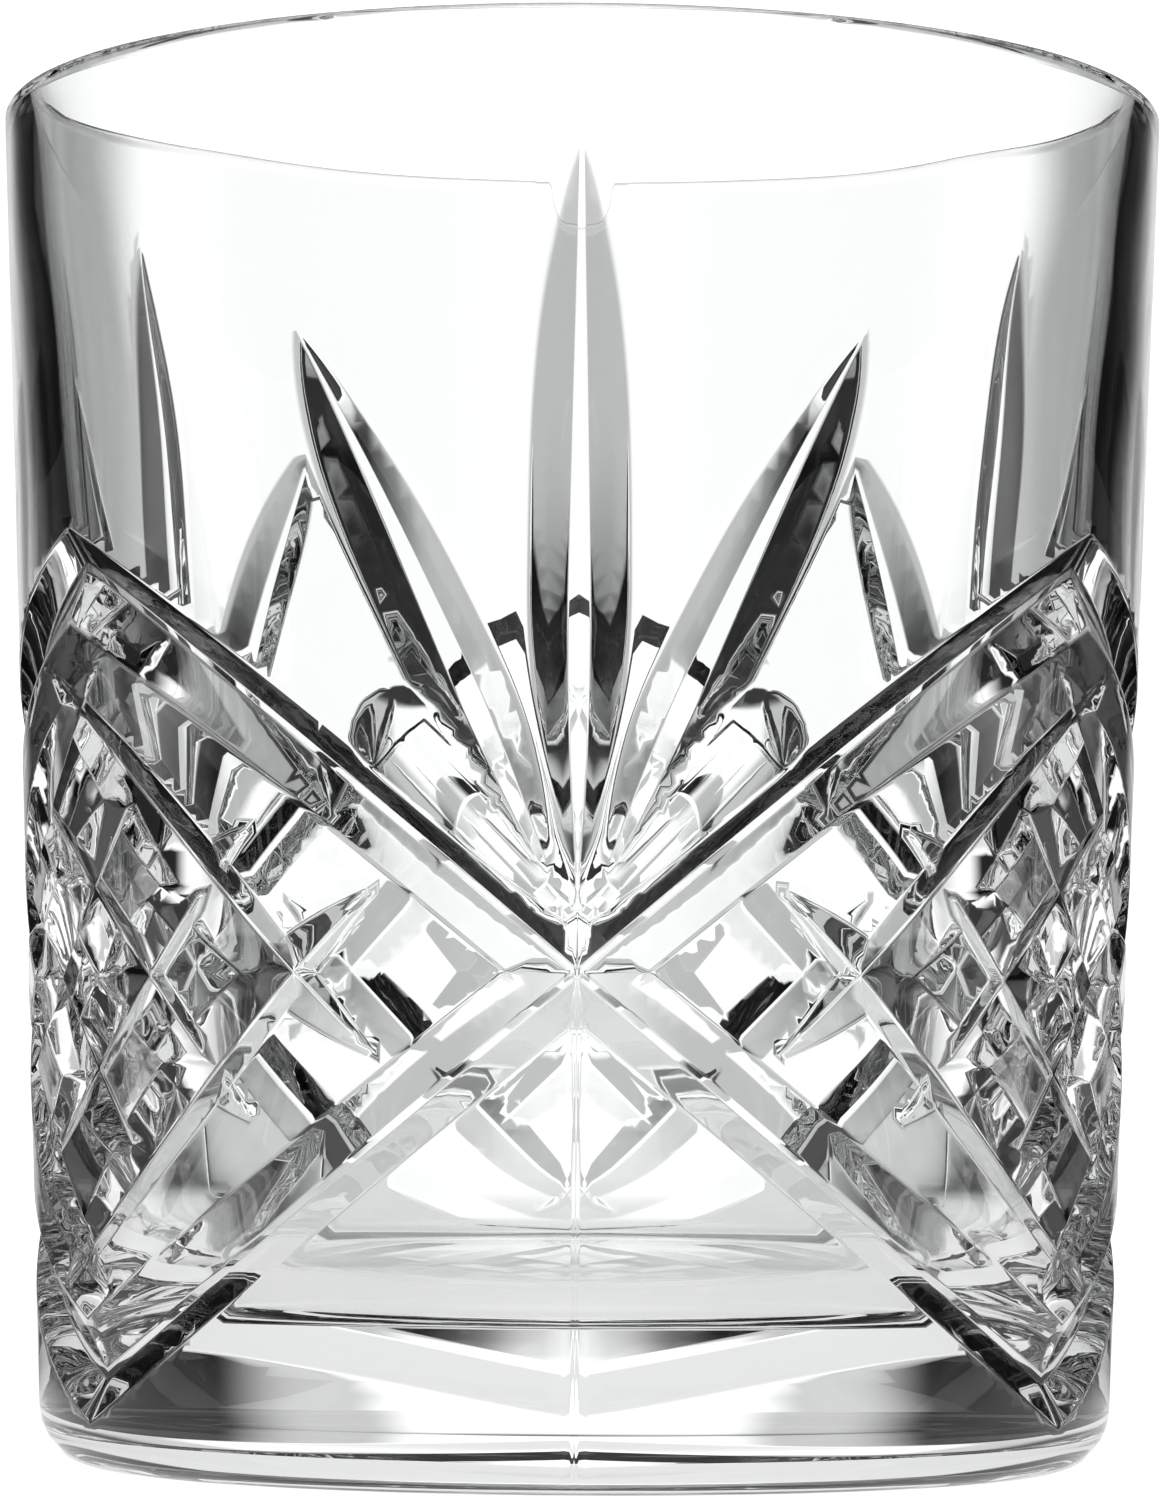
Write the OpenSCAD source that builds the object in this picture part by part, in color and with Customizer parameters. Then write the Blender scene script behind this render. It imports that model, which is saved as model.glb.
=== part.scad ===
// Pressed glass whiskey tumbler: one closed body with a heavy base, three fans and three diamond panels.
// The origin is the middle of the standing ring, +Z is up, and azimuths are counted from the front (-Y).

/* [Overall] */
// Height of the glass
height = 95; // [80:1:120]
// Outside diameter at the rim
rim_d = 82; // [70:1:100]
// Outside diameter of the wall, carried straight down to the table
base_d = 74.2; // [62:0.1:90]

/* [Bowl] */
// Wall thickness just under the rim
rim_wall = 2.4; // [2.4:0.1:4]
// Wall thickness where the bowl turns in to its floor
low_wall = 7; // [5:0.1:9]
// Glass under the lowest point of the bowl
floor_t = 10.5; // [6:0.5:16]
// Radius between the bowl's wall and its floor
corner_r = 8; // [3:0.5:14]
// Radius of each edge of the fire-polished rim
lip_r = 1.2; // [0.6:0.1:1.2]

/* [Foot] */
// Radius of the heel, where the wall turns under
heel_r = 4; // [2:0.5:6]
// Width of the flat ring that the glass stands on
ring_w = 5; // [3:0.5:8]
// Height of the hollow inside the standing ring
hollow_h = 1.2; // [0.5:0.1:2.5]
// Run of the slope from the ring up into the hollow
hollow_run = 4; // [2:0.5:8]

/* [Crossed arms] */
// Height of the wall under the lowest corner of the arms
arm_clear = 6.8; // [6:0.2:10]
// Angle of a lower arm from the horizontal, where two arms cross
low_tilt = 38.5; // [34:0.5:42]
// Angle of an upper arm from the horizontal, where two arms cross
up_tilt = 39.7; // [34:0.1:42]
// Depth of an arm's groove
arm_depth = 1.6; // [0.8:0.1:2]
// Width of the upper side of an upper arm's groove
up_arm_top = 1.9; // [1.5:0.1:4]
// Width of the lower side of an upper arm's groove
up_arm_under = 3; // [1.5:0.1:4]
// Width of the upper side of a lower arm's groove
low_arm_top = 3; // [1.5:0.1:4]
// Width of the lower side of a lower arm's groove
low_arm_under = 2.5; // [1.5:0.1:4]

/* [Diamond panels] */
// Angle of a diamond groove from the horizontal, at its middle
line_tilt = 41; // [38:0.5:44]
// Azimuth from one diamond groove to the next
line_step = 14.3; // [12:0.1:15]
// Height from one diamond groove's middle to the next one's
line_rise = 3.7; // [3:0.1:4.5]
// Depth of a diamond groove at its middle
line_depth = 1.6; // [0.6:0.1:2]
// Half the width of a diamond groove at its middle
line_half_w = 2.7; // [1.5:0.1:3]
// Azimuth where a panel's outer grooves start
outer_start = 18.8; // [16:0.1:22]
// Azimuth where a panel's outer grooves end
outer_end = 66; // [60:0.5:72]
// Azimuth where a panel's inner grooves start
inner_start = 32.5; // [26:0.5:36]
// Azimuth where a panel's inner grooves end
inner_end = 74; // [68:0.5:80]

/* [Fan] */
// Plain wall between the middle leaf and the rim
leaf_clear = 7.8; // [4:0.1:12]
// Drop from the middle leaf's point to the side leaves' points
side_drop = 12.7; // [8:0.1:20]
// Lean of a side leaf from the vertical
side_lean = 25.5; // [20:0.5:32]
// Height of the fan's foot above the crossing of the arms
fan_lift = 5; // [4:0.5:8]
// Depth of a leaf at its fullest
leaf_depth = 2; // [0.6:0.1:2.2]
// Half the width of the middle leaf at its fullest
leaf_half_w = 3.3; // [2:0.1:4]
// Half the width of a side leaf at its fullest
side_half_w = 3.1; // [2:0.1:4]
// Lean of a petal from the vertical
petal_lean = 45; // [40:1:52]
// Length of a petal between the centres of its round ends
petal_l = 14; // [6:0.5:15]
// Depth of a petal at its outer end
petal_depth = 1.3; // [0.7:0.1:1.8]
// Depth of a petal at its foot
petal_foot_depth = 0.4; // [0.2:0.1:0.6]
// Radius of the round tool that sinks a petal
petal_r = 4.5; // [3:0.5:8]

/* [Hidden] */
$fn = 180;
repeats = 3;                                 // fans, and diamond panels between them
half_turn = 180 / repeats;                   // from a fan's middle to a panel's middle
rim_r = rim_d / 2;
base_r = base_d / 2;
slope = (rim_r - base_r) / height;           // outward taper of the wall
draft = atan(slope);
arm_rise = wall_r(height / 3) * sin(half_turn) * tan(low_tilt);
cross_z = arm_clear + arm_rise;              // where two arms cross
fan_z = cross_z + fan_lift;
leaf_top = height - leaf_clear;
side_top = leaf_top - side_drop;
leaf_foot_az = 2;                            // side leaves start this far round from the middle leaf
leaf_full = 0.4;                             // a leaf is fullest this far up from its foot
leaf_taper = 3.5;                            // and holds its width longer, the higher this power
petal_foot_az = 2.2;
panel_rows = [-1.5, -0.5, 0.5, 1.5];         // four grooves each way, counted from the panel's middle
proud = 1;                                   // how far a cutter stands out of the wall
run_out_end = 0.05;                          // a run-out groove's ends stay this far clear of the wall
arc_steps = 10;
arm_steps = 12;
line_steps = 12;
leaf_steps = 12;

// Outside radius of the plain wall at height z
function wall_r(z) = base_r + slope * z;

// Points on an arc about c
function arc(c, r, a0, a1) =
    [for (i = [0:arc_steps]) let (a = a0 + (a1 - a0) * i / arc_steps) c + r * [cos(a), sin(a)]];

// Point at radius r, azimuth az and height z
function at(r, az, z) = [r * sin(az), -r * cos(az), z];

// Three corners of a V-shaped cutter in an upright plane: its crease sunk by depth, its two shoulders proud
// of the wall. Its upper side rises by up for each millimetre of depth, and its lower side falls by down
function upright_v(az, z, depth, up, down) =
    let (out = wall_r(z) + proud, h = depth + proud)
    [at(wall_r(z) - depth, az, z), at(out, az, z + up * h), at(out, az, z - down * h)];

// The same in a level plane, with both sides steep times as wide as deep
function level_v(az, z, depth, steep) =
    let (out = wall_r(z) + proud, turn = steep * (depth + proud) / wall_r(z) * 180 / PI)
    [at(wall_r(z) - depth, az, z), at(out, az - turn, z), at(out, az + turn, z)];

// A solid through a row of V sections; closed joins the last one to the first
module sweep(sections, closed = false) {
    n = len(sections);
    last = closed ? n - 1 : n - 2;
    sides = [for (i = [0:last], j = [0:2])
        [3 * i + j, 3 * ((i + 1) % n) + j, 3 * ((i + 1) % n) + (j + 1) % 3, 3 * i + (j + 1) % 3]];
    ends = closed ? [] : [[0, 1, 2], [3 * n - 1, 3 * n - 2, 3 * n - 3]];
    polyhedron([for (s = sections, p = s) p], concat(sides, ends), convexity = 6);
}

// Depth along a groove that runs out to nothing at both ends, for t from 0 to 1
function run_out(t, depth) = depth * (1 - pow(2 * t - 1, 2)) - run_out_end;

// How full a leaf is along its length, from its foot at t = 0 to its point at t = 1
function leaf_swell(t) =
    t < leaf_full ? 1 - pow(1 - t / leaf_full, 2) : 1 - pow((t - leaf_full) / (1 - leaf_full), leaf_taper);

// Height of a tilted plane above its own middle, da degrees round the wall from there
function tilt_rise(z, tilt, da) = wall_r(z) * sin(da) * tan(tilt);

// Zigzag groove all the way round: up in the panels, where way is 1, or down, where way is -1
module zigzag(way, tilt, top_w, under_w) {
    steps = repeats * 2 * arm_steps;
    across = 1 / arm_depth / cos(tilt);
    sweep(closed = true, sections = [for (i = [0:steps - 1])
        let (az = i * 360 / steps, m = az % (2 * half_turn), da = min(m, 2 * half_turn - m),
             z = cross_z + way * tilt_rise(cross_z, tilt, da))
        upright_v(az, z, arm_depth, top_w * across, under_w * across)]);
}

// Eight grooves of a diamond panel, four rising and four falling
module panel() {
    steep = line_half_w / line_depth / cos(line_tilt);
    for (k = panel_rows, way = [-1, 1]) {
        az = half_turn - line_step * k;
        ends = abs(k) > 1 ? [outer_start, outer_end] : [inner_start, inner_end];
        from = k > 0 ? ends[0] : 2 * half_turn - ends[1];
        to = k > 0 ? ends[1] : 2 * half_turn - ends[0];
        sweep([for (i = [0:line_steps])
            let (t = i / line_steps, a = from + (to - from) * t,
                 z = cross_z + way * (line_rise * k + tilt_rise(cross_z, line_tilt, a - az)))
            upright_v(a, z, run_out(t, line_depth), steep, steep)]);
    }
}

// A pointed leaf from height z0 up to z1, leaning over to one side
module leaf(foot_az, lean, z0, z1, half_w) {
    over = (z1 - z0) * tan(lean) / wall_r((z0 + z1) / 2) * 180 / PI;
    steep = half_w / leaf_depth / cos(lean);
    sweep([for (i = [0:leaf_steps])
        let (t = i / leaf_steps, depth = leaf_depth * leaf_swell(t) - run_out_end)
        level_v(foot_az + over * t, z0 + (z1 - z0) * t, depth, steep)]);
}

// A short petal with round ends, which deepens from its foot to its outer end
module petal() {
    z = fan_z + petal_l / 2 * cos(petal_lean);
    az = petal_foot_az + petal_l / 2 * sin(petal_lean) / wall_r(z) * 180 / PI;
    depth = (petal_depth + petal_foot_depth) / 2;
    dip = asin((petal_depth - petal_foot_depth) / petal_l);
    rotate([0, 0, az]) translate([0, depth - petal_r - wall_r(z), z])
    rotate([0, petal_lean, 0]) rotate([-dip, 0, 0]) {
        cylinder(h = petal_l, r = petal_r, center = true);
        for (s = [-1, 1]) translate([0, 0, s * petal_l / 2]) sphere(petal_r);
    }
}

// A middle leaf, two side leaves and two petals
module fan() {
    leaf(0, 0, fan_z, leaf_top, leaf_half_w);
    for (s = [0, 1]) mirror([s, 0, 0]) {
        leaf(leaf_foot_az, side_lean, fan_z, side_top, side_half_w);
        petal();
    }
}

// Half section of the plain body: foot, heel, wall, lip, bowl
function half_section() =
    let (
        heel_c = [wall_r(heel_r) - heel_r / cos(draft), heel_r],
        bowl_slope = (rim_r - rim_wall - (wall_r(floor_t) - low_wall)) / (height - floor_t),
        bowl_draft = atan(bowl_slope),
        bowl_r0 = wall_r(floor_t) - low_wall,
        corner_c = [bowl_r0 + bowl_slope * corner_r - corner_r / cos(bowl_draft), floor_t + corner_r],
        lip_out = [wall_r(height - lip_r) - lip_r / cos(draft), height - lip_r],
        lip_in = [bowl_r0 + bowl_slope * (height - lip_r - floor_t) + lip_r / cos(bowl_draft), height - lip_r]
    )
    concat(
        [[0, hollow_h], [heel_c.x - ring_w - hollow_run, hollow_h], [heel_c.x - ring_w, 0]],
        arc(heel_c, heel_r, -90, -draft),
        arc(lip_out, lip_r, -draft, 90),
        arc(lip_in, lip_r, 90, 180 - bowl_draft),
        arc(corner_c, corner_r, -bowl_draft, -90),
        [[0, floor_t]]
    );

module tumbler_glass() {
    color("aliceblue", 0.5) difference() {
        rotate_extrude() polygon(half_section());
        zigzag(1, up_tilt, up_arm_top, up_arm_under);
        zigzag(-1, low_tilt, low_arm_top, low_arm_under);
        for (i = [0:repeats - 1]) rotate([0, 0, i * 360 / repeats]) {
            panel();
            fan();
        }
    }
}

tumbler_glass();
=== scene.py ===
# %% [markdown]
# # A pressed glass whiskey tumbler
# The real thing is one piece of clear glass. A gob of molten glass is dropped into a mould with a raised
# pattern, a plunger presses the bowl into it, and a flame then melts the rim smooth. So everything here is
# one mesh: what we learn is how to give a smooth wall sharp, clean pressed grooves.
#
# The imported model is loaded first. Every size starts from its box.

# %% Load the frame
import math

import bmesh
import bpy
import numpy as np
from mathutils import Matrix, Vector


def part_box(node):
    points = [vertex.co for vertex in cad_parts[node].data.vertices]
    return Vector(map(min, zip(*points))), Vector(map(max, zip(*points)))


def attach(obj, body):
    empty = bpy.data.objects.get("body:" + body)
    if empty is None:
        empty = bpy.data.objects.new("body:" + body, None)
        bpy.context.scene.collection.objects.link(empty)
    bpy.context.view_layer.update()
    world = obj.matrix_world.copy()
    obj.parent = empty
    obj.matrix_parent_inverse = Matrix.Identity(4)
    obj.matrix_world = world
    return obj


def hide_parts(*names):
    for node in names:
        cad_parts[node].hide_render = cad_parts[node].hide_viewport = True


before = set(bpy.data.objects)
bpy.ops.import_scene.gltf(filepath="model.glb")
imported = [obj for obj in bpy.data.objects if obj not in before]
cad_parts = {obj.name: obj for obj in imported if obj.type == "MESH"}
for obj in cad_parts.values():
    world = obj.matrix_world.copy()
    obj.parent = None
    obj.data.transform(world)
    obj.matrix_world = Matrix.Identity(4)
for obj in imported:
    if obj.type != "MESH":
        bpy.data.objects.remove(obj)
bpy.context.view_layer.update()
low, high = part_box("tumbler_glass")

# %% [markdown]
# The mesh is worked out in millimetres, because every size on a drinking glass is a few of them, and it is
# turned to metres at the very end. The wall is a plain cone: its radius grows evenly from the table to the
# rim. Under it the heel turns in on a quarter circle, to the ring that the glass stands on.

# %% Sizes of the plain glass, in millimetres
MM = 0.001
HEIGHT = (high[2] - low[2]) / MM
LIP_R = 1.2
BASE_R = 37.1
HEEL_R = 4.0
RIM_R = (high[0] - low[0]) / 2 / MM
TAPER = (RIM_R - BASE_R) / HEIGHT
RIM_WALL = 2.4
LOW_WALL = 7.0
FLOOR = 10.5
CORNER_R = 8.0
RING_W = 5.0
HOLLOW = 1.2
HOLLOW_RUN = 4.0


def wall_r(z):
    """Radius of the plain cone at height z."""
    return BASE_R + TAPER * z


def outer_r(z):
    """Radius of the outside at height z, with the heel turned in."""
    turn = np.clip(HEEL_R - z, 0.0, HEEL_R)
    return wall_r(z) - HEEL_R + np.sqrt(HEEL_R**2 - turn**2)


print(f"height {HEIGHT:.1f} mm, rim radius {RIM_R:.2f} mm")
print(f"taper {math.degrees(math.atan(TAPER)):.2f} degrees")

# %% [markdown]
# The pattern repeats three times round the glass, and each repeat is its own mirror image. So one sixth of
# the wall is enough: from the middle of a fan of leaves (azimuth 0) to the middle of a diamond panel
# (azimuth 60). Each groove is written as a height field: how deep the glass is cut at a place, and
# negative where that groove doesn't reach. A V groove is a straight ridge turned upside down, with a
# slightly rounded bottom, because a steel mould's edges are never quite sharp.

# %% Sizes of the pattern, in millimetres and degrees
REPEATS = 3
SIXTH = 180 / REPEATS
ARM_CLEAR, ARM_DEPTH = 6.8, 1.6
LOW_TILT, LOW_TOP, LOW_UNDER = 38.5, 3.0, 2.5
UP_TILT, UP_TOP, UP_UNDER = 39.7, 1.9, 3.0
LINE_TILT, LINE_STEP, LINE_RISE, LINE_DEPTH, LINE_HALF_W = 41.0, 14.3, 3.7, 1.6, 2.7
OUTER_LINE, INNER_LINE = (18.8, 66.0), (32.5, 74.0)
PANEL_ROWS = (-1.5, -0.5, 0.5, 1.5)
LEAF_CLEAR, SIDE_DROP, SIDE_LEAN, FAN_LIFT = 7.8, 12.7, 25.5, 5.0
LEAF_DEPTH, LEAF_HALF_W, SIDE_HALF_W, LEAF_FOOT = 2.0, 3.3, 3.1, 2.0
LEAF_FULL, LEAF_TAPER = 0.4, 3.5
PETAL_FOOT, PETAL_LEAN, PETAL_LENGTH, PETAL_TOOL_R = 2.2, 45.0, 14.0, 4.5
PETAL_DEPTH, PETAL_FOOT_DEPTH = 1.3, 0.4


def tan_deg(angle):
    return math.tan(math.radians(angle))


def cos_deg(angle):
    return math.cos(math.radians(angle))


CROSS_Z = ARM_CLEAR + wall_r(HEIGHT / 3) * math.sin(math.radians(SIXTH)) * tan_deg(LOW_TILT)
FAN_Z = CROSS_Z + FAN_LIFT
LEAF_TOP = HEIGHT - LEAF_CLEAR
SIDE_TOP = LEAF_TOP - SIDE_DROP
print(f"arms cross at {CROSS_Z:.1f} mm, leaves end at {LEAF_TOP:.1f} and {SIDE_TOP:.1f} mm")

# %% Height fields of the grooves
ROUND = 0.06
LINE_CUT, ARM_CUT = 0.06, 0.15


def blend_max(a, b, width):
    """The larger of a and b, rounded where they meet."""
    near = np.maximum(width - np.abs(a - b), 0.0) / width
    return np.maximum(a, b) + near**2 * width / 4


def cut_level(side, bottom, off):
    """A groove whose sides stop at a level bottom: its depth, its distance off, and side above bottom."""
    return -blend_max(-side, -bottom, ROUND), off, side - bottom


def run_out(t, depth):
    """Depth along a groove that fades to nothing at t = 0 and t = 1."""
    return depth * (1 - (2 * t - 1) ** 2)


def plane_rise(z, tilt, turn):
    """How far a tilted plane climbs in turning round the wall at height z."""
    return wall_r(z) * np.sin(np.radians(turn)) * tan_deg(tilt)


def arm(az, z, way, tilt, top, under):
    """One of the wide crossed grooves: way is 1 for the upper arms and -1 for the lower ones."""
    off = z - CROSS_Z - way * plane_rise(CROSS_Z, tilt, az)
    width = np.where(off > 0, top, under) / cos_deg(tilt)
    return cut_level(ARM_DEPTH * (1 - np.abs(off) / width), ARM_DEPTH - ARM_CUT, off)


def diamond_line(az, z, row, way):
    """One groove of a diamond panel: way is 1 where it climbs to the right and -1 where it falls."""
    middle = SIXTH - LINE_STEP * row
    ends = OUTER_LINE if abs(row) > 1 else INNER_LINE
    start, end = ends if row > 0 else (2 * SIXTH - ends[1], 2 * SIXTH - ends[0])
    off = z - CROSS_Z - way * (LINE_RISE * row + plane_rise(CROSS_Z, LINE_TILT, az - middle))
    depth = run_out((az - start) / (end - start), LINE_DEPTH)
    steep = LINE_HALF_W / LINE_DEPTH / cos_deg(LINE_TILT)
    return cut_level(depth - np.abs(off) / steep, depth - LINE_CUT, off)


def leaf_swell(t):
    """How full a leaf is along its length, from its foot at t = 0 to its point at t = 1."""
    below = np.maximum(1 - t / LEAF_FULL, 0.0)
    above = np.maximum((t - LEAF_FULL) / (1 - LEAF_FULL), 0.0)
    return 1 - below**2 - above**LEAF_TAPER


def leaf(az, z, top, half_w, foot=0.0, lean=0.0, side=1):
    """A long pointed leaf: side is 1 where it leans to the right and -1 to the left.

    Its bottom is flat, and the lower half of the leaf is deeper and flatter than the end near its point.
    """
    t = (z - FAN_Z) / (top - FAN_Z)
    over = (top - FAN_Z) * tan_deg(lean) / wall_r((FAN_Z + top) / 2) * 180 / math.pi
    off = np.radians(az - side * (foot + over * t)) * wall_r(z) * cos_deg(lean)
    low = np.clip(2 * (0.85 - t), 0.0, 1.0)
    flat = 0.28 + 0.50 * low
    depth = LEAF_DEPTH * (0.7 + 0.3 * low)
    swell = leaf_swell(t)
    return cut_level(depth * (half_w * swell - np.abs(off)) / (half_w - flat), depth * swell, off)


def petal(az, z):
    """A thumb-shaped hollow with round ends, deepest at its outer end."""
    x = np.radians(az - PETAL_FOOT) * wall_r(FAN_Z + PETAL_LENGTH / 2)
    y = z - FAN_Z
    sway, rise = math.sin(math.radians(PETAL_LEAN)), cos_deg(PETAL_LEAN)
    along = np.clip(x * sway + y * rise, 0.0, PETAL_LENGTH)
    off = np.hypot(x - along * sway, y - along * rise)
    depth = PETAL_FOOT_DEPTH + (PETAL_DEPTH - PETAL_FOOT_DEPTH) * along / PETAL_LENGTH
    return (depth - off**2 / (2 * PETAL_TOOL_R),)


side_leaf = (SIDE_TOP, SIDE_HALF_W, LEAF_FOOT, SIDE_LEAN)
GROOVES = {
    "upper_arm": lambda az, z: arm(az, z, 1, UP_TILT, UP_TOP, UP_UNDER),
    "lower_arm": lambda az, z: arm(az, z, -1, LOW_TILT, LOW_TOP, LOW_UNDER),
    "middle_leaf": lambda az, z: leaf(az, z, LEAF_TOP, LEAF_HALF_W),
    "right_leaf": lambda az, z: leaf(az, z, *side_leaf, 1),
    "left_leaf": lambda az, z: leaf(az, z, *side_leaf, -1),
    "petal": petal,
}
for row in PANEL_ROWS:
    for way in (-1, 1):
        GROOVES[f"line_{row}_{way}"] = lambda az, z, row=row, way=way: diamond_line(az, z, row, way)
print(len(GROOVES), "grooves reach one sixth of the wall")

# %% [markdown]
# Where two grooves overlap, the deeper one wins. A plain maximum would leave a knife edge, so the two are
# blended over a short width, which is the small radius that fire polishing leaves on every edge. Leaves and
# petals have softer shoulders than the arms and the diamonds. The mould opens in three parts, and where two
# of them meet, under the crossing of the arms, a fine seam stands up from the wall.

# %% One relief from all the grooves
EDGE = 0.10
SOFT_EDGE = {"middle_leaf": 0.30, "right_leaf": 0.30, "left_leaf": 0.30, "petal": 0.30, "upper_arm": 0.16}
SEAM_H, SEAM_W = 0.05, 0.16


def seam(az, z):
    """Height of the mould's seam, which fades out in the crossing of the arms."""
    off = np.radians(az) * wall_r(z)
    return SEAM_H * np.exp(-((off / SEAM_W) ** 2)) * np.clip((CROSS_Z + 3 - z) / 3, 0, 1)


def relief(az, z):
    """Depth of the whole pattern in one sixth of the wall."""
    depth = np.zeros_like(np.asarray(az, float))
    for name, groove in GROOVES.items():
        depth = blend_max(depth, groove(az, z)[0], SOFT_EDGE.get(name, EDGE))
    return depth - seam(az, z)


print(f"deepest: {relief(*np.meshgrid(np.linspace(0, SIXTH, 200), np.linspace(2, 92, 300))).max():.2f} mm")

# %% [markdown]
# The sixth starts as a flat grid: x runs round the wall, y runs up it. A groove that crosses the grid at a
# slant would come out with a saw-tooth edge, so the grid gets an edge along every crease and shoulder.
# The trick is to lift the flat sheet by the groove's own height field and to slice it level with
# bisect_plane: each cut is then a contour of that field, straight or curved. After the last cut the sheet is
# lifted once more, by the finished relief.

# %% The flat sheet, sliced along its creases
SHEET_R = 39.0
SHEET_BOTTOM, SHEET_TOP = 1.0, HEIGHT - 2.5
CELL = 1.0
COLUMNS = round(math.radians(SIXTH) * SHEET_R / CELL)
ROWS = round((SHEET_TOP - SHEET_BOTTOM) / CELL)


def sheet_places(bm):
    """Azimuth in degrees and height in millimetres of every point of the sheet."""
    places = np.array([v.co[:2] for v in bm.verts])
    return np.degrees(places[:, 0] / SHEET_R), places[:, 1]


def slice_level(bm, heights, level, keep):
    """Lifts the sheet to heights and cuts it level, only in faces whose every point is in keep."""
    for v, h in zip(bm.verts, heights):
        v.co.z = h
    bm.verts.index_update()
    faces = [f for f in bm.faces if all(keep[v.index] for v in f.verts)]
    edges = {e for f in faces for e in f.edges}
    points = {v for f in faces for v in f.verts}
    bmesh.ops.bisect_plane(bm, geom=[*faces, *edges, *points], dist=0.004,
                           plane_co=(0, 0, level), plane_no=(0, 0, 1))


def slice_groove(bm, name):
    """Edges along a groove's middle, both edges of its flat bottom, and both its shoulders."""
    soft = SOFT_EDGE.get(name, EDGE)
    groove = GROOVES[name]
    if name != "petal":
        depth, off, _ = groove(*sheet_places(bm))
        slice_level(bm, off, 0.0, (depth > -soft) & (np.abs(off) < 2 * CELL))
        for level in (-ROUND, ROUND):
            depth, off, above = groove(*sheet_places(bm))
            slice_level(bm, above, level, (depth > -soft) & (np.abs(off) < 2.5 * CELL))
    for level in (-0.8 * soft, 0.0, 0.8 * soft):
        depth = groove(*sheet_places(bm))[0]
        slice_level(bm, depth, level, np.abs(depth - level) < 0.9)


sheet = bmesh.new()
place = Matrix.Translation((math.radians(SIXTH) * SHEET_R / 2, (SHEET_BOTTOM + SHEET_TOP) / 2, 0))
size = Matrix.Diagonal((math.radians(SIXTH) * SHEET_R / 2, (SHEET_TOP - SHEET_BOTTOM) / 2, 1, 1))
bmesh.ops.create_grid(sheet, x_segments=COLUMNS, y_segments=ROWS, size=1.0, matrix=place @ size)
for name in GROOVES:
    if name != "left_leaf":
        slice_groove(sheet, name)
for level in (0.5 * SEAM_W, SEAM_W, 2 * SEAM_W):
    az, z = sheet_places(sheet)
    slice_level(sheet, np.radians(az) * SHEET_R, level, z < CROSS_Z + 4)
for v, depth in zip(sheet.verts, relief(*sheet_places(sheet))):
    v.co.z = -depth
print("sheet:", len(sheet.verts), "points,", len(sheet.faces), "faces")

# %% [markdown]
# Mirroring the sixth gives a third of the wall, and copying that twice gives the whole of it, still flat.
# Then the sheet is wrapped: its x becomes an angle and its lift a change of radius.

# %% Mirror, copy and wrap the wall
bmesh.ops.mirror(sheet, geom=[*sheet.verts, *sheet.edges, *sheet.faces], matrix=Matrix(),
                 merge_dist=0.0005, axis="X")
third = [*sheet.verts, *sheet.edges, *sheet.faces]
for turn in range(1, REPEATS):
    copy = bmesh.ops.duplicate(sheet, geom=third)["geom"]
    points = [g for g in copy if isinstance(g, bmesh.types.BMVert)]
    bmesh.ops.translate(sheet, verts=points, vec=(turn * math.radians(2 * SIXTH) * SHEET_R, 0, 0))


def wrap(bm):
    """Bends the flat sheet round the wall of the glass; azimuth 0 faces -Y."""
    for v in bm.verts:
        angle = v.co.x / SHEET_R
        radius = float(outer_r(v.co.y)) + v.co.z
        v.co = (radius * math.sin(angle), -radius * math.cos(angle), v.co.y)


wrap(sheet)
print("wall:", len(sheet.faces), "faces all round")

# %% [markdown]
# The rest of the glass is plain round work, so its outline is spun. One outline goes from the wall's lower
# edge round the heel to the middle of the foot, the other from its upper edge over the lip and down the
# bowl. Both are spun in as many steps as the sheet has columns, so their points meet the sheet's. The one
# fault left is where each of the three mould seams comes down to the foot: its ridge ends up to 0.05 mm
# proud of the foot's ring, and the sheet has points there that the ring lacks. That leaves the open edges
# which this cell counts. Keeping the seam out of the sheet's lowest row should close them.

# %% Foot, lip and bowl
def arc(centre, radius, start, end, steps):
    """Points on an arc, its ends included, with the angles in degrees."""
    angles = np.radians(np.linspace(start, end, steps + 1))
    return [(centre[0] + radius * math.cos(a), centre[1] + radius * math.sin(a)) for a in angles]


def spin_outline(bm, outline):
    """Spins an outline of (radius, height) points right round the axis."""
    points = [bm.verts.new((0, -r, z)) for r, z in outline]
    edges = [bm.edges.new(pair) for pair in zip(points, points[1:])]
    bmesh.ops.spin(bm, geom=[*points, *edges], cent=(0, 0, 0), axis=(0, 0, 1), dvec=(0, 0, 0),
                   angle=2 * math.pi, steps=2 * REPEATS * COLUMNS, use_merge=True)


heel = (wall_r(HEEL_R) - HEEL_R, HEEL_R)
heel_start = -math.degrees(math.acos((outer_r(SHEET_BOTTOM) - (wall_r(SHEET_BOTTOM) - HEEL_R)) / HEEL_R))
foot = [(float(outer_r(SHEET_BOTTOM)), SHEET_BOTTOM)]
foot += arc(heel, HEEL_R, heel_start, -90, 6)[1:]
foot += [(heel[0] - RING_W, 0.0), (heel[0] - RING_W - HOLLOW_RUN, HOLLOW)]
foot += [(foot[-1][0] * (1 - i / 8), HOLLOW) for i in range(1, 9)]

draft = math.degrees(math.atan(TAPER))
bowl_taper = (RIM_R - RIM_WALL - (wall_r(FLOOR) - LOW_WALL)) / (HEIGHT - FLOOR)
bowl_draft = math.degrees(math.atan(bowl_taper))


def bowl_r(z):
    """Radius of the bowl's wall at height z."""
    return wall_r(FLOOR) - LOW_WALL + bowl_taper * (z - FLOOR)


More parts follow.
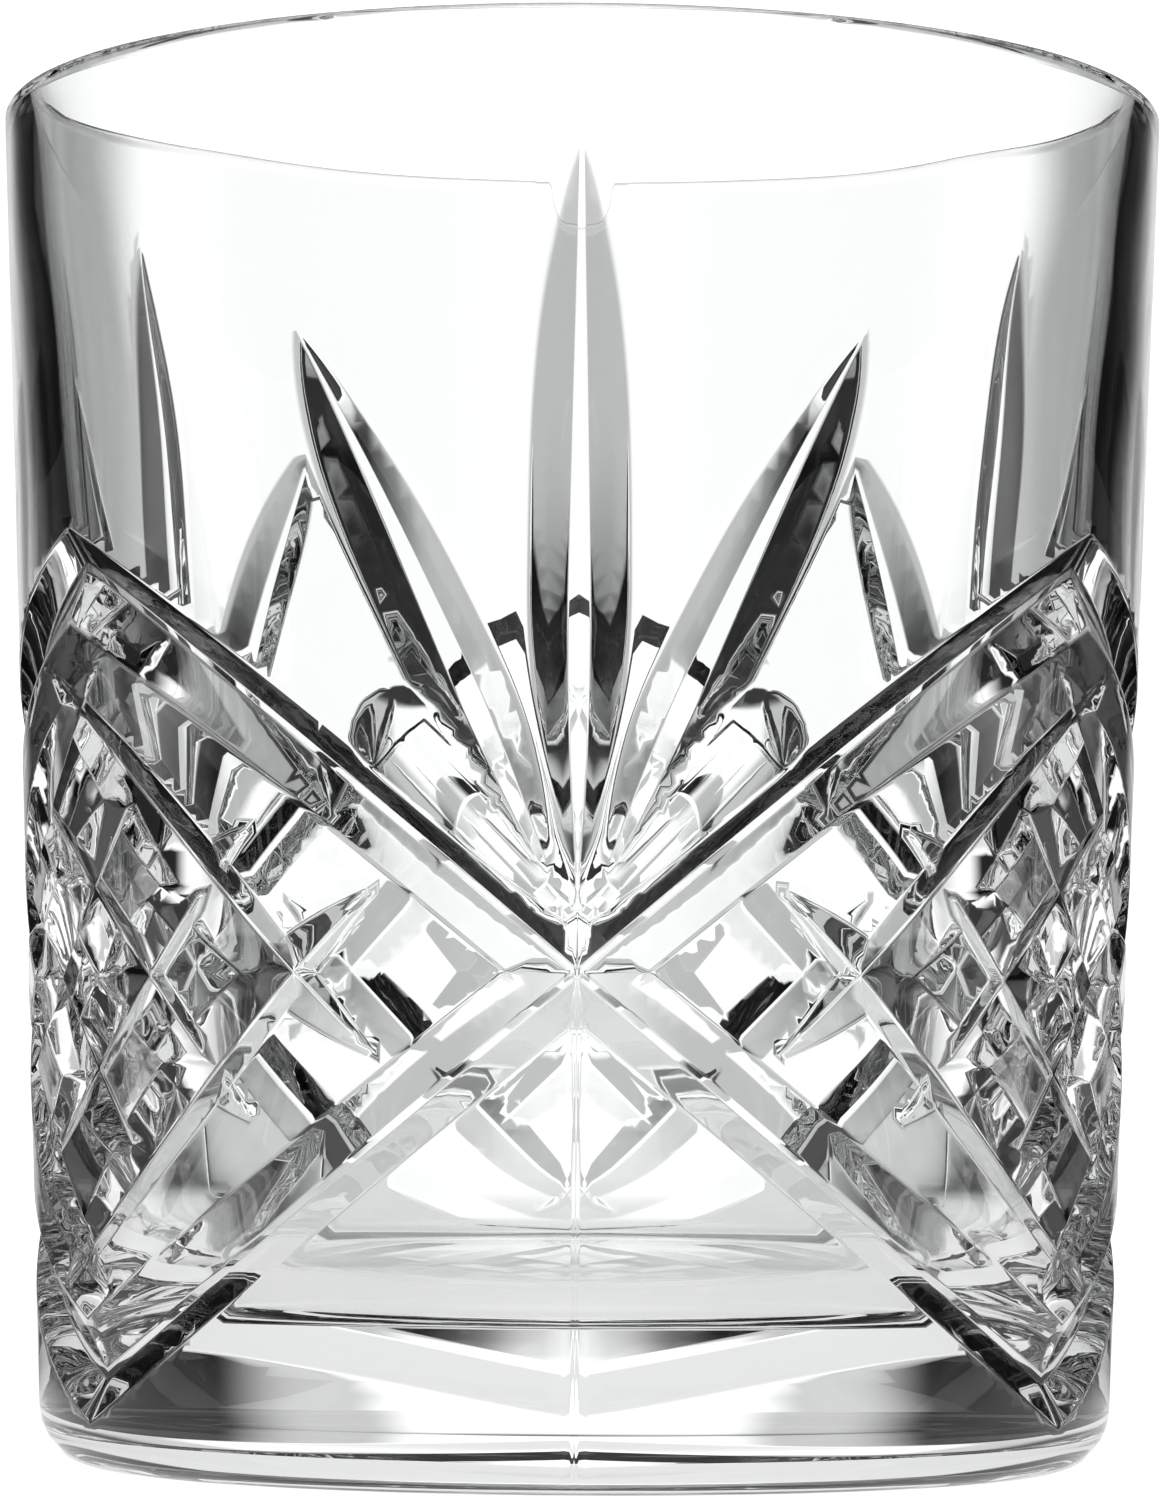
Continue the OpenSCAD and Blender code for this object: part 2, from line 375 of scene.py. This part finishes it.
lip_z = HEIGHT - LIP_R
lip_out = (wall_r(lip_z) - LIP_R / cos_deg(draft), lip_z)
lip_in = (bowl_r(lip_z) + LIP_R / cos_deg(bowl_draft), lip_z)
corner = (bowl_r(FLOOR + CORNER_R) - CORNER_R / cos_deg(bowl_draft), FLOOR + CORNER_R)
bowl = [(float(outer_r(SHEET_TOP)), SHEET_TOP)]
bowl += arc(lip_out, LIP_R, -draft, 90, 8)
bowl += arc(lip_in, LIP_R, 90, 180 - bowl_draft, 8)
WALL_ROWS = 30
top_z, low_z = bowl[-1][1], FLOOR + CORNER_R
bowl += [(bowl_r(z), z) for z in np.linspace(top_z, low_z, WALL_ROWS + 1)[1:-1]]
bowl += arc(corner, CORNER_R, -bowl_draft, -90, 14)
bowl += [(corner[0] * (1 - i / 10), FLOOR) for i in range(1, 11)]

spin_outline(sheet, foot)
spin_outline(sheet, bowl)
bmesh.ops.remove_doubles(sheet, verts=sheet.verts, dist=0.0008)
bmesh.ops.recalc_face_normals(sheet, faces=sheet.faces)
open_edges = sum(not e.is_manifold for e in sheet.edges)
print("glass:", len(sheet.verts), "points,", len(sheet.faces), "faces,", open_edges, "open edges")

# %% [markdown]
# Glass shows every small wave of its surface, because each wave bends the light behind it. Pressed glass
# does have such waves, a few hundredths of a millimetre high, where it shrank from the mould. They are a
# sum of a few sines, so that they close up round the glass. The shading normals are then worked out from
# the same formula as the shape, which keeps the grooves clean whatever triangles the slicing left.

# %% Waves of the pressed surface
WAVES = ((3, 31.0, 0.4), (5, 23.0, 1.9), (8, 17.0, 3.1), (13, 41.0, 5.2))
OUTER_WAVE, BOWL_WAVE = 0.010, 0.022


def wave(az, z, height, shift):
    """Height of the surface's waves: turns round the glass, length up the wall, phase."""
    return sum(height / turns**0.5
               * np.sin(np.radians(az * turns) + 2 * math.pi * z / length + phase + shift)
               for turns, length, phase in WAVES)


def wall_point(az, z):
    """Place of the patterned outside at any azimuth, with its waves, as an array of points."""
    folded = np.abs((az + SIXTH) % (2 * SIXTH) - SIXTH)
    edge = np.clip(np.minimum(z - SHEET_BOTTOM, SHEET_TOP - z) / 6, 0, 1)
    radius = outer_r(z) - relief(folded, z) + edge * wave(az, z, OUTER_WAVE, 0.0)
    return np.stack([radius * np.sin(np.radians(az)), -radius * np.cos(np.radians(az)), z], -1)


def wall_normal(az, z, step=0.02):
    """Outward normal of the patterned outside, from small steps round and up it."""
    turn = math.degrees(step / SHEET_R)
    across = wall_point(az + turn, z) - wall_point(az - turn, z)
    upward = wall_point(az, z + step) - wall_point(az, z - step)
    normal = np.cross(across, upward)
    return normal / np.linalg.norm(normal, axis=-1, keepdims=True)


def to_object(bm, name):
    """Moves the wall on to its waves, and makes the finished mesh an object in metres."""
    mesh = bpy.data.meshes.new(name)
    bm.to_mesh(mesh)
    places = np.array([v.co[:] for v in mesh.vertices])
    az = np.degrees(np.arctan2(places[:, 0], -places[:, 1]))
    radius, z = np.hypot(places[:, 0], places[:, 1]), places[:, 2]
    outside = (z > SHEET_BOTTOM) & (z < SHEET_TOP) & (radius > bowl_r(z) + 0.5)
    inside = (z > FLOOR + 0.01) & (z < lip_z) & ~outside
    places[outside] = wall_point(az[outside], z[outside])
    fade = np.clip((lip_z - z) / 8, 0, 1) * np.clip(radius / 12, 0, 1)
    bump = 1 + fade * wave(az, z, BOWL_WAVE, 2.0) / np.maximum(radius, 1.0)
    places[inside, :2] *= bump[inside, None]
    mesh.vertices.foreach_set("co", (places * MM).ravel())
    mesh.update()
    mesh.shade_smooth()
    normals = np.array([v.normal[:] for v in mesh.vertices])
    patterned = outside & (z > SHEET_BOTTOM + 0.5) & (z < SHEET_TOP - 0.5)
    normals[patterned] = wall_normal(az[patterned], z[patterned])
    mesh.normals_split_custom_set_from_vertices(normals)
    obj = bpy.data.objects.new(name, mesh)
    bpy.context.scene.collection.objects.link(obj)
    return obj


glass = to_object(sheet, "pressed_glass_tumbler")
sheet.free()
print("triangles:", sum(len(p.vertices) - 2 for p in glass.data.polygons))

# %% [markdown]
# Soda-lime glass is colourless to the eye, with an index of refraction of 1.52. Its fire-polished skin is
# as smooth as glass gets. All that it shows comes from refraction, so the material itself is simple.

# %% Fire-polished soda-lime glass
def linear(hex_colour):
    """An sRGB hex colour as linear RGBA."""
    parts = [int(hex_colour[i:i + 2], 16) / 255 for i in (1, 3, 5)]
    return (*[c / 12.92 if c <= 0.04045 else ((c + 0.055) / 1.055) ** 2.4 for c in parts], 1.0)


def add_node(tree, kind, settings=None, **links):
    """Adds a node; settings are its attributes or socket values, links the sockets that feed it."""
    node = tree.nodes.new(kind)
    for key, value in (settings or {}).items():
        if isinstance(key, str) and hasattr(node, key):
            setattr(node, key, value)
        else:
            node.inputs[key].default_value = value
    for key, source in links.items():
        tree.links.new(source, node.inputs[int(key[1:]) if key[0] == "_" else key.replace("_", " ")])
    return node


def new_material(name):
    """An empty node material and its output."""
    material = bpy.data.materials.new(name)
    material.use_nodes = True
    material.node_tree.nodes.clear()
    return material, material.node_tree.nodes.new("ShaderNodeOutputMaterial")


clear_glass, output = new_material("fire_polished_soda_lime_glass")
tree = clear_glass.node_tree
surface = add_node(tree, "ShaderNodeBsdfPrincipled", {
    "Base Color": linear("#FBFCFC"), "Roughness": 0.0, "IOR": 1.52, "Transmission Weight": 1.0})
tree.links.new(surface.outputs[0], output.inputs["Surface"])
glass.data.materials.append(clear_glass)
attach(glass, "root")
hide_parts("tumbler_glass")
print("glass rides on root")

# %% [markdown]
# Clear glass is lit by what stands round it. A white card behind it makes it shine through, and black flags
# beside the card draw its edges and facets dark. Here cards and flags are painted in the world, behind the
# glass, to both sides, and in front, where they are dimmer so that the facets keep their contrast. They end
# a little above the eye, and a soft light hangs overhead. What the camera sees directly is plain white.

# %% Light tent
CARD_LEVEL, EDGE_LEVEL, FLAG_LEVEL = 1.24, 0.50, 0.005
FRONT_LEVEL = 0.40
CARD_EDGE = {"From Min": 0.55, "From Max": 0.80, "To Max": EDGE_LEVEL}
CARD_MIDDLE = {"From Min": 0.88, "From Max": 0.95, "To Max": 1 - EDGE_LEVEL}
CARD_BESIDE = {"From Min": -0.86, "From Max": -0.98}
FRONT_HALF = {"From Min": -0.15, "From Max": 0.15, "To Min": FRONT_LEVEL}
CARD_TOP = {"From Min": 0.27, "From Max": 0.215}
OVERHEAD = {"From Min": 0.88, "From Max": 0.95}


def soft_step(tree, value, ends):
    """Where a value passes between the ends given, a smooth step from one level to another."""
    return add_node(tree, "ShaderNodeMapRange", {"interpolation_type": "SMOOTHSTEP", **ends},
                    Value=value).outputs[0]


def cards_round(tree, place):
    """How bright each azimuth of a place is: 1 at a card's middle, EDGE_LEVEL near its edge, 0 on a flag.

    The half in front of the glass is dimmed to FRONT_LEVEL.
    """
    parts = add_node(tree, "ShaderNodeSeparateXYZ", _0=place).outputs
    azimuth = add_node(tree, "ShaderNodeMath", {"operation": "ARCTAN2"}, _0=parts[0], _1=parts[1]).outputs[0]
    twice = add_node(tree, "ShaderNodeMath", {"operation": "MULTIPLY", 1: 2.0}, _0=azimuth).outputs[0]
    lobe = add_node(tree, "ShaderNodeMath", {"operation": "COSINE"}, _0=twice).outputs[0]
    edge = soft_step(tree, lobe, CARD_EDGE)
    middle = soft_step(tree, lobe, CARD_MIDDLE)
    behind = add_node(tree, "ShaderNodeMath", {"operation": "ADD"}, _0=edge, _1=middle).outputs[0]
    beside = soft_step(tree, lobe, CARD_BESIDE)
    all_round = add_node(tree, "ShaderNodeMath", {"operation": "MAXIMUM"}, _0=behind, _1=beside).outputs[0]
    facing = add_node(tree, "ShaderNodeMath", {"operation": "COSINE"}, _0=azimuth).outputs[0]
    dimmed = soft_step(tree, facing, FRONT_HALF)
    return add_node(tree, "ShaderNodeMath", {"operation": "MULTIPLY"}, _0=all_round, _1=dimmed).outputs[0]


world = bpy.data.worlds.new("light_tent")
bpy.context.scene.world = world
world.use_nodes = True
tree = world.node_tree
tree.nodes.clear()
way = add_node(tree, "ShaderNodeTexCoord").outputs["Generated"]
rise = add_node(tree, "ShaderNodeSeparateXYZ", _0=way).outputs[2]
low_part = soft_step(tree, rise, CARD_TOP)
cards = add_node(tree, "ShaderNodeMath", {"operation": "MULTIPLY"},
                 _0=cards_round(tree, way), _1=low_part).outputs[0]
top = soft_step(tree, rise, OVERHEAD)
lit = add_node(tree, "ShaderNodeMath", {"operation": "MAXIMUM"}, _0=cards, _1=top).outputs[0]
level = add_node(tree, "ShaderNodeMapRange", {"To Min": FLAG_LEVEL, "To Max": CARD_LEVEL},
                 Value=lit).outputs[0]
seen = add_node(tree, "ShaderNodeLightPath").outputs["Is Camera Ray"]
shown = add_node(tree, "ShaderNodeMath", {"operation": "MAXIMUM"}, _0=level, _1=seen).outputs[0]
light = add_node(tree, "ShaderNodeBackground", {"Color": linear("#FFFFFF")}, Strength=shown)
add_node(tree, "ShaderNodeOutputWorld", Surface=light.outputs[0])
print("light tent: cards at", CARD_LEVEL, "and flags at", FLAG_LEVEL)

# %% [markdown]
# The table glows like a sheet of opal acrylic lit from below, and that glow is painted light, with the
# tent's cards and flags painted into it. Close to the glass it is a little dimmer than the card, and further
# out it goes on into the painted cards and flags.

# %% Backlit table
NEAR_LEVEL, FAR_LEVEL = 0.80, 1.25
TABLE_R = 3.0
CARDS_FROM = {"From Min": 0.06, "From Max": 0.15}
floor_mesh = bmesh.new()
bmesh.ops.create_circle(floor_mesh, cap_ends=True, segments=96, radius=TABLE_R,
                        matrix=Matrix.Translation((0, 0, -0.00003)))
mesh = bpy.data.meshes.new("white_table")
floor_mesh.to_mesh(mesh)
floor_mesh.free()
table = bpy.data.objects.new("white_table", mesh)
bpy.context.scene.collection.objects.link(table)
painted_tent_table, output = new_material("table_glow_with_painted_tent")
tree = painted_tent_table.node_tree
place = add_node(tree, "ShaderNodeTexCoord").outputs["Object"]
reach = add_node(tree, "ShaderNodeVectorMath", {"operation": "LENGTH"}, _0=place).outputs["Value"]
far = soft_step(tree, reach, CARDS_FROM)
# Painted light: the tent's bright cards and dark flags are painted into the table's own glow.
cards = add_node(tree, "ShaderNodeMath", {"operation": "MULTIPLY", 1: FAR_LEVEL},
                 _0=cards_round(tree, place)).outputs[0]
glow = add_node(tree, "ShaderNodeMix", {"data_type": "FLOAT", 2: NEAR_LEVEL}, _0=far, _3=cards).outputs[0]
seen = add_node(tree, "ShaderNodeLightPath").outputs["Is Camera Ray"]
shown = add_node(tree, "ShaderNodeMath", {"operation": "MAXIMUM"}, _0=glow, _1=seen).outputs[0]
sheet_surface = add_node(tree, "ShaderNodeBsdfPrincipled", {
    "Base Color": linear("#505050"), "Roughness": 0.5, "Emission Color": linear("#FFFFFF")},
    Emission_Strength=shown)
tree.links.new(sheet_surface.outputs[0], output.inputs["Surface"])
table.data.materials.append(painted_tent_table)
print("table radius:", TABLE_R, "m")

# %% [markdown]
# The camera stands close, near the height of the glass's middle, and looks up a little, so the rim shows as
# a thin bow above the wall.

# %% Camera
camera_data = bpy.data.cameras.new("camera")
camera = bpy.data.objects.new("camera", camera_data)
bpy.context.scene.collection.objects.link(camera)
bpy.context.scene.camera = camera
DISTANCE, EYE = 0.3777, 0.0238
PITCH, YAW, ROLL = 3.965, -0.022, 0.355
camera_data.sensor_width = 36.0
camera_data.lens = 128.7
camera_data.clip_start = 0.01
turn = (Matrix.Rotation(math.radians(YAW), 4, "Z") @ Matrix.Rotation(math.radians(90 + PITCH), 4, "X")
        @ Matrix.Rotation(math.radians(ROLL), 4, "Z"))
camera.matrix_world = Matrix.Translation((0, -DISTANCE, EYE)) @ turn

# %% Picture settings
scene = bpy.context.scene
scene.view_settings.view_transform = "Standard"
scene.cycles.max_bounces = 32
scene.cycles.transmission_bounces = 32
scene.cycles.glossy_bounces = 16
